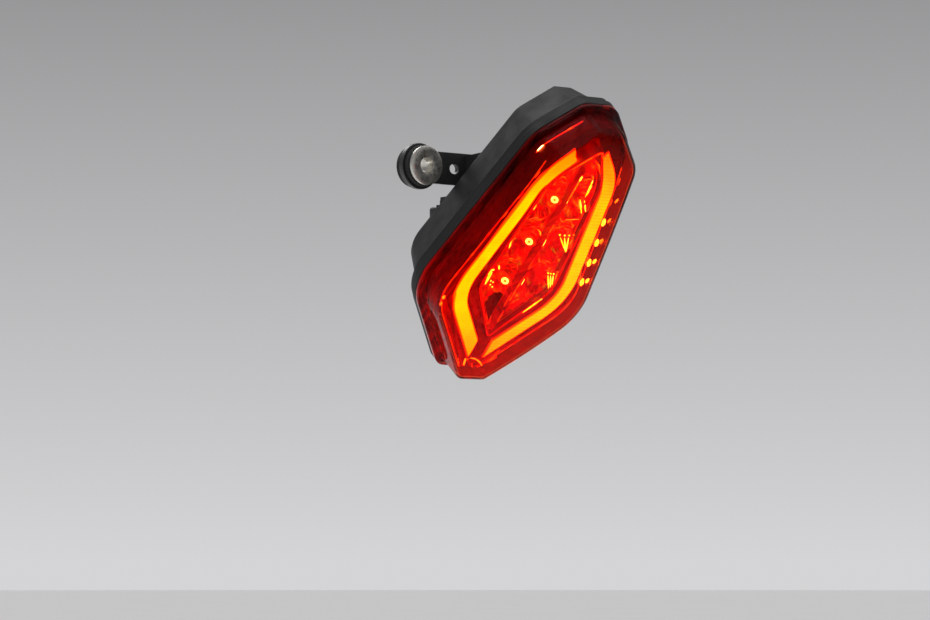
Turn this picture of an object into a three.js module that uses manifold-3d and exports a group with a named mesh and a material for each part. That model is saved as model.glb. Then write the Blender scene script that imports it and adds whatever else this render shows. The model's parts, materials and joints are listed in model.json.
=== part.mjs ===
// Motorcycle LED tail light: a red moulded lens over two L-shaped light guides and a six-LED
// brake optic, closed by a black tub. A steel bracket with two rubber-bushed ears and a bushed peg
// hold it, and a three-pin socket feeds it.
// Millimetres. Bike axes: +X right, +Y forward, +Z up. The origin is on the raised pad in the
// middle of the bracket's front. The optics are drawn in the lamp's own axes: x across, y up the face,
// z out of the lens, with z = 0 on the front of the light guides.

import * as THREE from "three";
import { mergeVertices } from "three/addons/utils/BufferGeometryUtils.js";
import Module from "manifold-3d";

const wasm = await Module();
wasm.setup();

// ---------- driving dimensions ----------
const LEAN = THREE.MathUtils.degToRad(44); // the top of the face leans back over the wheel
const LAMP_CENTRE = { y: -29, z: -35 }; // the lamp's own origin, in bike axes
const GAP = 0.3; // clearance between neighbouring pieces

// Half outlines from the bottom to the top: [x, y, corner radius]. A corner with x = 0 is on the
// centre line, and every other corner has a mirror image.
const LENS_OUTLINE = [
  [7, -72.4, 4],
  [41.2, -32.6, 24],
  [23.4, 50.2, 16],
  [7, 66.8, 4],
];
const GUIDE_OUTLINE = [
  [0, -67.8, 5],
  [33.2, -29, 22],
  [21.2, 39.9, 14],
  [0, 63.4, 5],
];
const LEAF_OUTLINE = [
  [0, -49.6, 0.6],
  [19.9, -22.6, 10],
  [14.3, 36, 30],
  [0, 50.5, 1],
];
const CORNER_STEPS = [2, 7, 5, 2]; // segments in each corner's arc, from the bottom to the top

const FACE_Z = 5.6; // the lens shoulder, in front of the guides
const FACE_CROWN = 3; // how far the middle of the face stands in front of its shoulder
const FACE_THICK = 2.4;
const LENS_FLANGE = { front: -9, back: -12, out: 3.6 };
const WELD_RIB = { back: -15, out: 0.7, in: 1.4 };
const GUIDE = { width: 6.2, depth: 7, tipX: 4.3, legFoot: -15.3, leg: 3.4 };
const GUIDE_LEGS = [
  { name: "lower", x: 8.6, y: -53.6 },
  { name: "upper", x: 12.2, y: 45.6 },
];
const TRAY = { front: -7.3, back: -9.2 };
const CHANNEL_Z = -2.8; // floor of the bezel between the guides and the leaf-shaped window

const COLUMN = [
  { x: 4.8, y: -21.2, cup: { x: 9.6, y: -20, rx: 8.1, ry: 12.6 } },
  { x: 4.1, y: 1.2, cup: { x: 8.9, y: 3, rx: 7.4, ry: 12.6 } },
  { x: 3.5, y: 24.8, cup: { x: 7.4, y: 26, rx: 6.3, ry: 12.6 } },
];
const CUP = { centreZ: 1, depth: 9.5, skin: 1.3 };
const REFLECTOR = { face: -2.6, back: -5.2, flange: -4 };
const BLADE = { low: 2, high: 1, crest: 0.2, base: -2.3, keel: 0.6, keelDepth: 2.2, bottom: -47.2, top: 45 };
const PIPE = { face: -3.3, rim: 2.2, neck: 1.6, plateFront: -11.6, plateBack: -12.8, foot: -14.9 };

const BOARD = { front: -17.3, back: -18.9, inset: 6 };
const LED = { size: 3.2, front: -15.6, back: -17 };
const SPREADER = { front: -21.3, back: -22.8, inset: 8 };
const BOARD_SCREWS = [
  [22, -33],
  [15.5, 29],
];
const TUB = { front: -12.3, wallBack: -34.6, back: -37 };

// In bike axes, measured from the lamp's own origin.
const BRACKET = {
  z: 35, back: 26, front: 28.4, pad: 29, half: 7, earX: 44.5, earRadius: 10, hole: 6.4, screwX: 13,
};
const COLLAR = { bore: 3.5, tube: 4.8, flange: 8.5 };
const SOCKET = { z: 14, width: 23.6, height: 15.6, wall: 1.8, tail: 44, floor: 48.5, mouth: 62 };
const SOCKET_FACE = 49.5; // the tub's pad that the socket plugs into
const PINS = { x: [-5, 0, 5], from: 30, to: 55.5, size: 1 };
const PEG = { z: -5, from: 46, tip: 76, radius: 4 };
const VENT = { x: 0, y: 45, radius: 6 };

// ---------- shape tools ----------

// A mirrored outline with rounded corners, counter-clockwise, moved inwards by inset.
function outline(half, inset = 0) {
  const right = half.map(([x, y, r], i) => {
    const steps = x ? CORNER_STEPS[i] : 2 * CORNER_STEPS[i] + 1;
    return { x, y, r, steps };
  });
  const left = right.filter((c) => c.x > 0).map((c) => ({ ...c, x: -c.x }));
  const corners = [...right, ...left.toReversed()];
  const count = corners.length;
  const edges = corners.map((a, i) => {
    const b = corners[(i + 1) % count];
    const along = new THREE.Vector2(b.x - a.x, b.y - a.y).normalize();
    const inward = new THREE.Vector2(-along.y, along.x);
    return { along, inward, through: new THREE.Vector2(a.x, a.y).addScaledVector(inward, inset) };
  });
  const points = corners.flatMap((corner, i) => {
    const before = edges[(i + count - 1) % count];
    const after = edges[i];
    const turn = before.along.cross(after.along);
    const reach = after.through.clone().sub(before.through).cross(after.along) / turn;
    const angle = Math.atan2(turn, before.along.dot(after.along));
    const radius = Math.max(corner.r - inset, 0.3);
    const centre = before.through
      .clone()
      .addScaledVector(before.along, reach - radius * Math.tan(angle / 2))
      .addScaledVector(before.inward, radius);
    return Array.from({ length: corner.steps + 1 }, (_, k) =>
      before.inward
        .clone()
        .multiplyScalar(-radius)
        .rotateAround(new THREE.Vector2(), (angle * k) / corner.steps)
        .add(centre),
    );
  });
  // every outline starts just right of the bottom centre, so that rings of a loft line up
  const start = half[0][0] ? 0 : CORNER_STEPS[0] + 1;
  return [...points.slice(start), ...points.slice(0, start)];
}

// One ring of a loft: an outline at height z, which may be a function of (x, y).
function ring(half, inset, z) {
  const height = typeof z === "function" ? z : () => z;
  return outline(half, inset).map((p) => new THREE.Vector3(p.x, p.y, height(p.x, p.y)));
}

// A ring drawn in towards the middle of the face.
function drawnIn(points, share, height) {
  const middleY = -6;
  return points.map((p) => {
    const x = p.x * share;
    const y = middleY + (p.y - middleY) * share;
    return new THREE.Vector3(x, y, height(x, y));
  });
}

// Skins a list of rings with equal point counts. An open loft is capped at both ends.
function loft(rings, closed = false) {
  const count = rings[0].length;
  const index = [];
  const spans = closed ? rings.length : rings.length - 1;
  for (let k = 0; k < spans; k += 1) {
    const a = k * count;
    const b = ((k + 1) % rings.length) * count;
    for (let i = 0; i < count; i += 1) {
      const j = (i + 1) % count;
      index.push(a + i, b + i, b + j, a + i, b + j, a + j);
    }
  }
  if (!closed) {
    index.push(...cap(rings[0], 0, true), ...cap(rings.at(-1), (rings.length - 1) * count, false));
  }
  const geometry = new THREE.BufferGeometry().setFromPoints(rings.flat());
  geometry.setIndex(index);
  return facingOut(geometry);
}

// Triangles across a ring, with the ring's own direction or against it.
function cap(points, start, forwards) {
  const flat = points.map((p) => new THREE.Vector2(p.x, p.y));
  return THREE.ShapeUtils.triangulateShape(flat, []).flatMap(([a, b, c]) => {
    const area = flat[b].clone().sub(flat[a]).cross(flat[c].clone().sub(flat[a]));
    const kept = area > 0 === forwards ? [a, b, c] : [a, c, b];
    return kept.map((i) => i + start);
  });
}

// Turns every face round when the mesh's signed volume is negative.
function facingOut(geometry) {
  const position = geometry.getAttribute("position");
  const index = geometry.getIndex().array;
  const [a, b, c] = [new THREE.Vector3(), new THREE.Vector3(), new THREE.Vector3()];
  let volume = 0;
  for (let i = 0; i < index.length; i += 3) {
    a.fromBufferAttribute(position, index[i]);
    b.fromBufferAttribute(position, index[i + 1]);
    c.fromBufferAttribute(position, index[i + 2]);
    volume += a.dot(b.cross(c));
  }
  if (volume < 0) {
    for (let i = 0; i < index.length; i += 3) {
      [index[i + 1], index[i + 2]] = [index[i + 2], index[i + 1]];
    }
  }
  return geometry;
}

// A three.js geometry as a manifold-3d solid, and back.
function solid(geometry) {
  const bare = geometry.clone();
  bare.deleteAttribute("normal");
  bare.deleteAttribute("uv");
  const merged = mergeVertices(bare, 1e-4);
  const vertProperties = merged.attributes.position.array;
  const triVerts = new Uint32Array(merged.index.array);
  return new wasm.Manifold(new wasm.Mesh({ numProp: 3, vertProperties, triVerts }));
}

function geometryOf(made) {
  const mesh = made.getMesh();
  const geometry = new THREE.BufferGeometry();
  geometry.setAttribute("position", new THREE.BufferAttribute(new Float32Array(mesh.vertProperties), 3));
  geometry.setIndex(new THREE.BufferAttribute(new Uint32Array(mesh.triVerts), 1));
  return geometry;
}

const join = (first, ...rest) => geometryOf(rest.reduce((sum, g) => sum.add(solid(g)), solid(first)));
const cut = (first, ...rest) => geometryOf(rest.reduce((left, g) => left.subtract(solid(g)), solid(first)));
const common = (first, second) => geometryOf(solid(first).intersect(solid(second)));
const mirrorX = (geometry) => facingOut(geometry.clone().scale(-1, 1, 1));

// A prism of a closed outline between two heights.
function prism(points, back, front) {
  const shape = new THREE.Shape(points);
  const made = new THREE.ExtrudeGeometry(shape, { depth: front - back, bevelEnabled: false });
  return welded(made.translate(0, 0, back));
}

// A box given by its middle in x and y, its size, and its extent in z.
function block(width, height, back, front, x = 0, y = 0) {
  return new THREE.BoxGeometry(width, height, front - back).translate(x, y, (front + back) / 2);
}

// A turned piece about z from [radius, z] pairs, which start and end on the axis or close on themselves.
function turned(profile, segments = 20) {
  const points = profile.map(([r, z]) => new THREE.Vector2(r, z));
  return welded(new THREE.LatheGeometry(points, segments).rotateX(Math.PI / 2));
}

// A geometry reduced to shared vertices, without the empty triangles on a lathe's axis.
function welded(geometry) {
  const bare = geometry.clone();
  bare.deleteAttribute("normal");
  bare.deleteAttribute("uv");
  const merged = mergeVertices(bare, 1e-4);
  const corners = Array.from(merged.index.array);
  const kept = [];
  for (let i = 0; i < corners.length; i += 3) {
    const [a, b, c] = corners.slice(i, i + 3);
    if (a !== b && b !== c && c !== a) kept.push(a, b, c);
  }
  merged.setIndex(kept);
  return facingOut(merged);
}

const rod = (radius, back, front, x = 0, y = 0, segments = 20) =>
  turned([[0, back], [radius, back], [radius, front], [0, front]], segments).translate(x, y, 0);

// ---------- frames ----------
const assembly = new THREE.Group();
const lamp = new THREE.Group();
lamp.rotation.x = Math.PI / 2 + LEAN;
lamp.position.set(0, LAMP_CENTRE.y, LAMP_CENTRE.z);
const mount = new THREE.Group(); // bike axes, from the lamp's own origin
mount.position.copy(lamp.position);
assembly.add(lamp, mount);

// A shape drawn about +Z, laid along +Y at a height above the lamp's own origin.
const alongY = (geometry, x, z) => geometry.rotateX(-Math.PI / 2).translate(x, 0, z);

// A shape drawn in the mount group's axes, in the lamp's axes.
const intoLamp = (geometry) => geometry.rotateX(-lamp.rotation.x);

// ---------- materials ----------
function look(color, roughness, metalness = 0) {
  return new THREE.MeshStandardMaterial({ color, roughness, metalness });
}

const RED_LENS = look(0xb00808, 0.08);
const LIT_GUIDE = look(0xffc400, 0.3);
const RED_TRIM = look(0x6c0808, 0.3, 0.3);
const RED_CHROME = look(0xb01010, 0.2, 0.8);
const CLEAR_OPTIC = look(0xf2e6d8, 0.1);
const WHITE_PLASTIC = look(0xe8e6e0, 0.5);
const BLACK_PLASTIC = look(0x1c1c1e, 0.6);
const BOARD_GREEN = look(0x14502c, 0.5);
const LED_AMBER = look(0xffe9b0, 0.2);
const CHIP_BLACK = look(0x101012, 0.5);
const BUTYL = look(0x26262a, 0.8);
const RUBBER = look(0x141414, 0.9);
const BLACK_STEEL = look(0x202022, 0.5, 0.6);
const ZINC = look(0xb8babd, 0.35, 1);
const ALUMINIUM = look(0xc4c6c8, 0.4, 1);
const TIN = look(0xc9c8c2, 0.3, 1);
const VENT_GREY = look(0x3a3b3e, 0.7);

function place(group, name, geometry, material) {
  const mesh = new THREE.Mesh(geometry, material);
  mesh.name = name;
  group.add(mesh);
}

function placePair(group, name, geometry, material) {
  place(group, `${name}_right`, geometry, material);
  place(group, `${name}_left`, mirrorX(geometry), material);
}

// ---------- lens ----------
// The face is crowned across the lamp and along it.
function faceHeight(shoulder) {
  const fall = (distance, reach) => Math.max(0, 1 - (distance / reach) ** 2);
  return (x, y) => shoulder + FACE_CROWN * fall(x, 38) * fall(y + 3, 74);
}

function outerLens() {
  const outside = faceHeight(FACE_Z);
  const inside = faceHeight(FACE_Z - FACE_THICK);
  const below = (height, drop) => (x, y) => height(x, y) - drop;
  const shoulder = ring(LENS_OUTLINE, 3, outside);
  const innerShoulder = ring(LENS_OUTLINE, 4.4, inside);
  return loft([
    ...[0.2, 0.5, 0.8].map((share) => drawnIn(shoulder, share, outside)),
    shoulder,
    ring(LENS_OUTLINE, 1.1, below(outside, 0.5)),
    ring(LENS_OUTLINE, 0.3, below(outside, 1.3)),
    ring(LENS_OUTLINE, 0, below(outside, 2.6)),
    ring(LENS_OUTLINE, -0.7, LENS_FLANGE.front),
    ring(LENS_OUTLINE, -LENS_FLANGE.out, LENS_FLANGE.front),
    ring(LENS_OUTLINE, -LENS_FLANGE.out, LENS_FLANGE.back),
    ring(LENS_OUTLINE, -WELD_RIB.out, LENS_FLANGE.back),
    ring(LENS_OUTLINE, -WELD_RIB.out, WELD_RIB.back),
    ring(LENS_OUTLINE, WELD_RIB.in, WELD_RIB.back),
    ring(LENS_OUTLINE, WELD_RIB.in, LENS_FLANGE.front),
    ring(LENS_OUTLINE, 2.1, below(inside, 3.4)),
    ring(LENS_OUTLINE, 2.7, below(inside, 1)),
    innerShoulder,
    ...[0.8, 0.5, 0.2].map((share) => drawnIn(innerShoulder, share, inside)),
  ]);
}

place(lamp, "outer_lens", outerLens(), RED_LENS);

// ---------- light guides ----------
// The right half of the guide loop, grown by the given amount and cut off at its two ends.
function guideBand(grow, back, front) {
  const loop = cut(
    prism(outline(GUIDE_OUTLINE, -grow), back, front),
    prism(outline(GUIDE_OUTLINE, GUIDE.width + grow), back - 1, front + 1),
  );
  const tipX = GUIDE.tipX - grow;
  const topX = -1.2 * grow; // the upper end is cut along a slant
  const kept = [
    [tipX, -90],
    [60, -90],
    [60, 70],
    [topX + 19.4, 70],
    [topX + 4.9, 45.6],
    [tipX, -20],
  ];
  return common(loop, prism(kept.map(([x, y]) => new THREE.Vector2(x, y)), back - 1, front + 1));
}

const legAt = ({ x, y }, size, back, front) => block(size, size, back, front, x, y);

function lightGuide() {
  const legs = GUIDE_LEGS.map((leg) => legAt(leg, GUIDE.leg, GUIDE.legFoot, -1));
  return join(guideBand(0, -GUIDE.depth, 0), ...legs);
}

// The white tray behind a guide, open where the guide's legs pass.
function guideTray() {
  const holes = GUIDE_LEGS.map((leg) => legAt(leg, GUIDE.leg + 2 * GAP, TRAY.back - 1, TRAY.front + 1));
  return cut(guideBand(-0.2, TRAY.back, TRAY.front), ...holes);
}

placePair(lamp, "light_guide", lightGuide(), LIT_GUIDE);
placePair(lamp, "guide_tray", guideTray(), WHITE_PLASTIC);

// ---------- bezel ----------
// One frame from the lens wall to the leaf-shaped window, slotted for the guides. Its skirt
// stands on the tub's inner lip.
function bezel() {
  const inner = GUIDE.width + 0.9;
  const frame = loft(
    [
      ring(LENS_OUTLINE, 2, TUB.front + GAP),
      ring(LENS_OUTLINE, 2.6, -2.8),
      ring(GUIDE_OUTLINE, -0.9, -1.4),
      ring(GUIDE_OUTLINE, inner, -1.4),
      ring(LEAF_OUTLINE, -1.4, CHANNEL_Z),
      ring(LEAF_OUTLINE, -0.9, 0.5),
      ring(LEAF_OUTLINE, 0, 0.5),
      ring(LEAF_OUTLINE, 0.4, -3.6),
      ring(LEAF_OUTLINE, -1.2, -3.7),
      ring(GUIDE_OUTLINE, inner, -3.7),
      ring(GUIDE_OUTLINE, -0.9, -3.7),
      ring(LENS_OUTLINE, 3.4, -4.9),
      ring(LENS_OUTLINE, 3.1, TUB.front + GAP),
    ],
    true,
  );
  const slot = guideBand(GAP, -12, 6);
  return cut(frame, slot, mirrorX(slot));
}

place(lamp, "bezel", bezel(), RED_TRIM);

// ---------- brake optic ----------
const bothSides = (make) => COLUMN.flatMap((led) => [make(led), make({ ...led, x: -led.x, side: -1 })]);

// Half an ellipsoid that opens towards the lens.
function cupBowl({ cup, side = 1 }, skin) {
  const bowl = new THREE.SphereGeometry(1, 18, 10).rotateX(Math.PI / 2);
  return bowl
    .scale(cup.rx + skin, cup.ry + skin, CUP.depth + skin)
    .translate(side * cup.x, cup.y, CUP.centreZ);
}

// Six overlapping cups let into a leaf-shaped plate, with a groove for the centre blade.
function reflector() {
  const plate = prism(outline(LEAF_OUTLINE, 0.8), REFLECTOR.back, REFLECTOR.face);
  const flange = prism(outline(LEAF_OUTLINE, -1.6), REFLECTOR.back, REFLECTOR.flange);
  const bounds = prism(outline(LEAF_OUTLINE, 0.8), -30, REFLECTOR.back + 1);
  const shells = bothSides((led) => common(cupBowl(led, CUP.skin), bounds));
  const bowls = bothSides((led) => cupBowl(led, 0));
  const holes = bothSides(({ x, y }) => rod(PIPE.rim + GAP, -14, 0, x, y, 16));
  const groove = block(2 * (BLADE.keel + GAP), 200, BLADE.base - BLADE.keelDepth - GAP, 0);
  const spine = block(4.4, BLADE.top - BLADE.bottom - 16, -6.6, -3, 0, -2);
  const pocket = prism(
    [[2.6, -43.5], [12, -32.5], [4.5, -31.5], [2.6, -33]].map(([x, y]) => new THREE.Vector2(x, y)),
    -4.2,
    0,
  );
  return cut(join(plate, flange, spine, ...shells), ...bowls, ...holes, groove, pocket, mirrorX(pocket));
}

// The hipped blade down the middle, with a keel in the reflector's groove.
function centreBlade() {
  const { low, high, base, crest, bottom, top } = BLADE;
  const foot = [[0, bottom], [low, bottom + 9], [high, top - 12], [0, top]];
  const ridge = [[0, bottom + 0.5], [0.25, bottom + 9], [0.25, top - 12], [0, top - 0.5]];
  const closed = (points, z) => {
    const left = points.slice(1, -1).map(([x, y]) => [-x, y]);
    return [...points, ...left.toReversed()].map(([x, y]) => new THREE.Vector3(x, y, z));
  };
  const body = loft([closed(foot, base), closed(ridge, crest)]);
  const keel = block(2 * BLADE.keel, top - bottom - 24, base - BLADE.keelDepth, base + 0.5, 0, -2);
  return join(body, keel);
}

// Six light pipes moulded on one plate behind the reflector. Each ends in a face slanted at 45
// degrees, which throws its light out to its own side of the blade.
function lightPipes() {
  const { face, rim, neck, plateFront, plateBack, foot } = PIPE;
  const plate = prism(outline(LEAF_OUTLINE, 3.5), plateBack, plateFront);
  const pipes = bothSides(({ x, y, side = 1 }) => {
    const pipe = turned([[0, foot], [neck, foot], [rim, face], [rim, 2], [0, 2]], 20);
    const slant = new THREE.BoxGeometry(20, 20, 20).translate(0, 0, 10).rotateY((side * Math.PI) / 4);
    return cut(pipe, slant.translate(0, 0, face)).translate(x, y, 0);
  });
  return join(plate, ...pipes);
}

place(lamp, "reflector", reflector(), RED_CHROME);
place(lamp, "centre_blade", centreBlade(), RED_TRIM);
place(lamp, "light_pipes", lightPipes(), CLEAR_OPTIC);

// ---------- electronics ----------
const boardScrews = BOARD_SCREWS.flatMap(([x, y]) => [[x, y], [-x, y]]);

function screwedPlate(inset, back, front) {
  const holes = boardScrews.map(([x, y]) => rod(1.8, back - 1, front + 1, x, y, 16));
  return cut(prism(outline(LENS_OUTLINE, inset), back, front), ...holes);
}

place(lamp, "circuit_board", screwedPlate(BOARD.inset, BOARD.back, BOARD.front), BOARD_GREEN);
place(lamp, "heat_spreader", screwedPlate(SPREADER.inset, SPREADER.back, SPREADER.front), ALUMINIUM);

const ledAt = (x, y) => block(LED.size, LED.size, LED.back, LED.front, x, y);
bothSides(({ x, y }) => ledAt(x, y)).forEach((led, i) => place(lamp, `brake_led_${i + 1}`, led, LED_AMBER));
for (const { name, x, y } of GUIDE_LEGS) placePair(lamp, `guide_led_${name}`, ledAt(x, y), LED_AMBER);

place(lamp, "driver_chip", block(6, 5, -20.7, BOARD.back - GAP, 0, 12), CHIP_BLACK);
place(lamp, "capacitor", rod(3, BOARD.front + GAP, -12.5, 0, -58), ALUMINIUM);

const boardScrew = [[0, -30], [1.4, -29.5], [1.4, -17], [2.8, -17], [2.8, -16], [2, -15.2], [0, -15.2]];
boardScrews.forEach(([x, y], i) => {
  place(lamp, `board_screw_${i + 1}`, turned(boardScrew, 16).translate(x, y, 0), ZINC);
});

// ---------- rear housing ----------
// The part of a shape that lies behind the tub's back wall.
const behindTub = (geometry) => common(geometry, block(200, 200, -90, TUB.back + 1.2));

function rearHousing() {
  const tub = loft([
    ring(LENS_OUTLINE, 7.2, TUB.back),
    ring(LENS_OUTLINE, 5.8, TUB.back + 1.2),
    ring(LENS_OUTLINE, 0.6, -20),
    ring(LENS_OUTLINE, -2.6, -18.6),
    ring(LENS_OUTLINE, -2.6, -15.2),
    ring(LENS_OUTLINE, -LENS_FLANGE.out, -15.2),
    ring(LENS_OUTLINE, -LENS_FLANGE.out, TUB.front),
    ring(LENS_OUTLINE, -WELD_RIB.out - GAP, TUB.front),
    ring(LENS_OUTLINE, -WELD_RIB.out - GAP, -17),
    ring(LENS_OUTLINE, WELD_RIB.in + GAP, -17),
    ring(LENS_OUTLINE, WELD_RIB.in + GAP, TUB.front),
    ring(LENS_OUTLINE, 3.2, TUB.front),
    ring(LENS_OUTLINE, 3.2, -20),
    ring(LENS_OUTLINE, 8.2, TUB.wallBack),
  ]);
  const bosses = boardScrews.map(([x, y]) => rod(3.4, TUB.wallBack - 1, SPREADER.back - GAP, x, y, 16));
  const bossHoles = boardScrews.map(([x, y]) => rod(1.7, -31, -20, x, y, 16));
  const ventHole = rod(1.5, TUB.back - 1, TUB.wallBack + 1, VENT.x, VENT.y, 12);

  const bracketPad = intoLamp(
    new THREE.BoxGeometry(40, 30, 12).translate(0, BRACKET.back - GAP - 15, BRACKET.z),
  );
  const bracketHoles = [-1, 1].map((side) =>
    intoLamp(alongY(rod(2.5, 18.6, 40, 0, 0, 16), side * BRACKET.screwX, BRACKET.z)),
  );
  const socketPad = intoLamp(
    new THREE.BoxGeometry(30, 40, 22).translate(0, SOCKET_FACE - 20, SOCKET.z),
  );
  const pocket = intoLamp(
    new THREE.BoxGeometry(SOCKET.width + 2 * GAP, 20, SOCKET.height + 2 * GAP)
      .translate(0, SOCKET.tail - GAP + 10, SOCKET.z),
  );
  const pinHoles = PINS.x.map((x) => intoLamp(new THREE.BoxGeometry(2, 30, 2).translate(x, 33, SOCKET.z)));
  const peg = turned([
    [0, PEG.from],
    [6, PEG.from],
    [6, 62.5],
    [PEG.radius, 64.5],
    [PEG.radius, PEG.tip - 1.5],
    [2.5, PEG.tip],
    [0, PEG.tip],
  ]);

  const added = [bracketPad, socketPad, intoLamp(alongY(peg, 0, PEG.z))].map(behindTub);
  return cut(join(tub, ...added, ...bosses), ...bossHoles, ventHole, ...bracketHoles, pocket, ...pinHoles);
}

const sealRing = loft(
  [
    ring(LENS_OUTLINE, -WELD_RIB.out, -16.7),
    ring(LENS_OUTLINE, -WELD_RIB.out, -15.3),
    ring(LENS_OUTLINE, WELD_RIB.in, -15.3),
    ring(LENS_OUTLINE, WELD_RIB.in, -16.7),
  ],
  true,
);
const ventCap = [
  [0, -41.5],
  [VENT.radius - 1, -41.5],
  [VENT.radius, -40.5],
  [VENT.radius, -38.6],
  [4, -38.6],
  [4, -37.3],
  [0, -37.3],
];

place(lamp, "rear_housing", rearHousing(), BLACK_PLASTIC);
place(lamp, "lens_seal", sealRing, BUTYL);
place(lamp, "vent_cap", turned(ventCap).translate(VENT.x, VENT.y, 0), VENT_GREY);

// ---------- connector ----------
function connectorSocket() {
  const { width, height, wall, tail, floor, mouth, z } = SOCKET;
  const shell = new THREE.BoxGeometry(width, mouth - tail, height).translate(0, (mouth + tail) / 2, z);
  const flange = new THREE.BoxGeometry(28, 1.6, 20).translate(0, SOCKET_FACE + GAP + 0.8, z);
  const key = new THREE.BoxGeometry(6, 8, 1.6).translate(0, mouth - 4, z + height / 2 + 0.6);
  const cavity = new THREE.BoxGeometry(width - 2 * wall, mouth - floor + 2, height - 2 * wall)
    .translate(0, (mouth + floor) / 2 + 1, z);
  const holes = PINS.x.map((x) => new THREE.BoxGeometry(1.6, 20, 1.6).translate(x, tail + 2, z));
  return cut(join(shell, flange, key), cavity, ...holes);
}

place(mount, "connector_socket", connectorSocket(), BLACK_PLASTIC);
PINS.x.forEach((x, i) => {
  const pin = new THREE.BoxGeometry(PINS.size, PINS.to - PINS.from, PINS.size);
  place(mount, `connector_pin_${i + 1}`, pin.translate(x, (PINS.from + PINS.to) / 2, SOCKET.z), TIN);
});

// ---------- mounting ----------
function mountBracket() {
  const { back, front, pad, half, earX, earRadius, hole, screwX, z } = BRACKET;
  const bar = new THREE.BoxGeometry(2 * earX, front - back, 2 * half).translate(0, (front + back) / 2, z);
  const ears = [-earX, earX].map((x) => alongY(rod(earRadius, back, front, 0, 0, 32), x, z));
  const earHoles = [-earX, earX].map((x) => alongY(rod(hole, back - 1, front + 1, 0, 0, 24), x, z));
  const screwHoles = [-screwX, screwX].map((x) => alongY(rod(2.8, back - 1, front + 1, 0, 0, 16), x, z));
  const raised = new THREE.BoxGeometry(14, pad - back, 11).translate(0, (pad + back) / 2, z);
  return cut(join(bar, raised, ...ears), ...earHoles, ...screwHoles);
}

place(mount, "mount_bracket", mountBracket(), BLACK_STEEL);

const bracketScrew = [[0, 19], [2.2, 19.5], [2.2, 28.7], [4.5, 28.7], [4.5, 30], [3.4, 31], [0, 31]];
const earGrommet = [
  [COLLAR.tube + GAP, 23.2],
  [9, 23.2],
  [9, BRACKET.back - GAP],
  [BRACKET.hole - GAP, BRACKET.back - GAP],
  [BRACKET.hole - GAP, BRACKET.front + GAP],
  [9, BRACKET.front + GAP],
  [9, 31.8],
  [COLLAR.tube + GAP, 31.8],
  [COLLAR.tube + GAP, 23.2],
];
const earCollar = [
  [COLLAR.bore, 21.4],
  [COLLAR.flange, 21.4],
  [COLLAR.flange, 22.9],
  [COLLAR.tube, 22.9],
  [COLLAR.tube, 32.4],
  [COLLAR.bore, 32.4],
  [COLLAR.bore, 21.4],
];
placePair(mount, "bracket_screw", alongY(turned(bracketScrew, 16), BRACKET.screwX, BRACKET.z), ZINC);
placePair(mount, "mount_grommet", alongY(turned(earGrommet, 24), BRACKET.earX, BRACKET.z), RUBBER);
placePair(mount, "mount_collar", alongY(turned(earCollar, 24), BRACKET.earX, BRACKET.z), ZINC);

const pegGrommet = [
  [PEG.radius + GAP, 65],
  [8, 65],
  [8, 67.4],
  [6.2, 68],
  [6.2, 70.6],
  [8, 71.2],
  [8, 73.4],
  [PEG.radius + GAP, 73.4],
  [PEG.radius + GAP, 65],
];
place(mount, "peg_grommet", alongY(turned(pegGrommet, 24), 0, PEG.z), RUBBER);

export default assembly;
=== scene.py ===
"""Looks of the motorcycle LED tail light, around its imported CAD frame."""

import json
import math

import bmesh
import bpy
from mathutils import Matrix, Vector


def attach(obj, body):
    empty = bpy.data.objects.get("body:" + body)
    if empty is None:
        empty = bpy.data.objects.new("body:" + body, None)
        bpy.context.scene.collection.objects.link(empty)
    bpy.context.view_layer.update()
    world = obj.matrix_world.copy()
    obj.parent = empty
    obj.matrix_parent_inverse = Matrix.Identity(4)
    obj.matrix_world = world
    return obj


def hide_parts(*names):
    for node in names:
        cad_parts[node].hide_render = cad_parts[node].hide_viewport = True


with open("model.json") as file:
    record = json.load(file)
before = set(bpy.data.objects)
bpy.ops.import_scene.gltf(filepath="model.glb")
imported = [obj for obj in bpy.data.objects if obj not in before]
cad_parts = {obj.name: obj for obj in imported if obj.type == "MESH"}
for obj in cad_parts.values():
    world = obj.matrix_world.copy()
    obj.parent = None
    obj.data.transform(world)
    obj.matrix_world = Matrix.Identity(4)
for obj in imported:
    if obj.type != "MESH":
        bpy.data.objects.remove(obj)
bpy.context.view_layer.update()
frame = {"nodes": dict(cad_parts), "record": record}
nodes = frame["nodes"]

# Every piece is drawn in millimetres, in one of two sets of axes with the same origin:
# the lamp's (x across, y up the lens, z out of it) and the mount's (those of the whole part).
MM = 0.001
LEAN = math.pi / 2 + math.radians(44)
MOUNT = Matrix.Translation((0, -29 * MM, -35 * MM))
LAMP = MOUNT @ Matrix.Rotation(LEAN, 4, "X")
ALONG_Y = Matrix.Rotation(-math.pi / 2, 4, "X")
EAR_X, SCREW_X = 44.5, 13
BRACKET_Z, SOCKET_Z, PEG_Z = 35, 14, -5
VENT_Y = 45
SIDES = ((-1, "left"), (1, "right"))

# (x, y, corner radius) up the right-hand side of each outline, in lamp axes
LENS = [(7, -72.4, 4), (41.2, -32.6, 24), (23.4, 50.2, 16), (7, 66.8, 4)]
GUIDE = [(0, -67.8, 5), (33.4, -28.8, 29), (21.4, 39.9, 32), (0, 63.4, 5)]
RIM_LINE = [(0, -49.6, 0.6), (19.9, -22.6, 10), (14.3, 36, 30), (0, 56.5, 1)]
# segments in each corner and each straight side: alike in all outlines, so that their rings join
ARC = [5, 16, 12, 5]
STRAIGHT = [4, 22, 30, 16, 4]
# (x, y) of each right-hand light pipe, with the centre and radii of its cup
COLUMN = [
    (4.8, -21.2, (9.6, -20, 8.1, 12.6)),
    (4.1, 1.2, (8.9, 3, 7.4, 12.6)),
    (3.5, 24.8, (7.4, 26, 6.3, 12.6)),
]


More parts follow.
